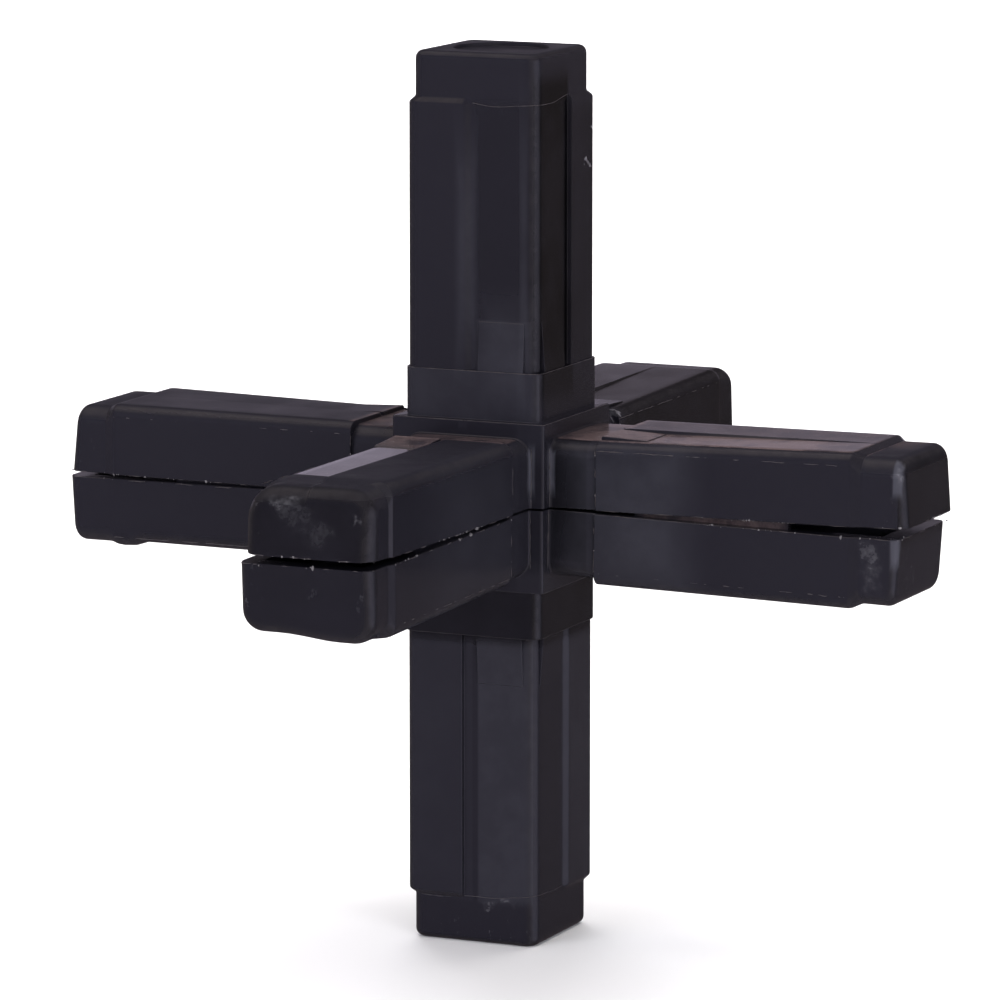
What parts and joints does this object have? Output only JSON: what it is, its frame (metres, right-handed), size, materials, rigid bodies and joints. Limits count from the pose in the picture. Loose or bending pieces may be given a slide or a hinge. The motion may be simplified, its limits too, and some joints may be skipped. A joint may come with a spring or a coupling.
{
  "type": "six-way square tube connector",
  "caption": "Moulded plastic hub with square spigots on all sides, in two like halves, that joins square tubes into a frame corner or crossing.",
  "frame": {"origin": "middle of the hub, where the axes of the six spigots cross", "axes": "+Z along the spigot of the upper half, -Z along the spigot of the lower half, +X and +Y along two of the four split spigots"},
  "size_m": [0.1366, 0.1364, 0.1356],
  "materials": {
    "black_plastic": "satin moulded nylon with fine scuffs, drag marks and bright flash along the parting edges"
  },
  "bodies": {
    "root": {"upper_half": "black_plastic", "lower_half": "black_plastic"}
  },
  "joints": []
}
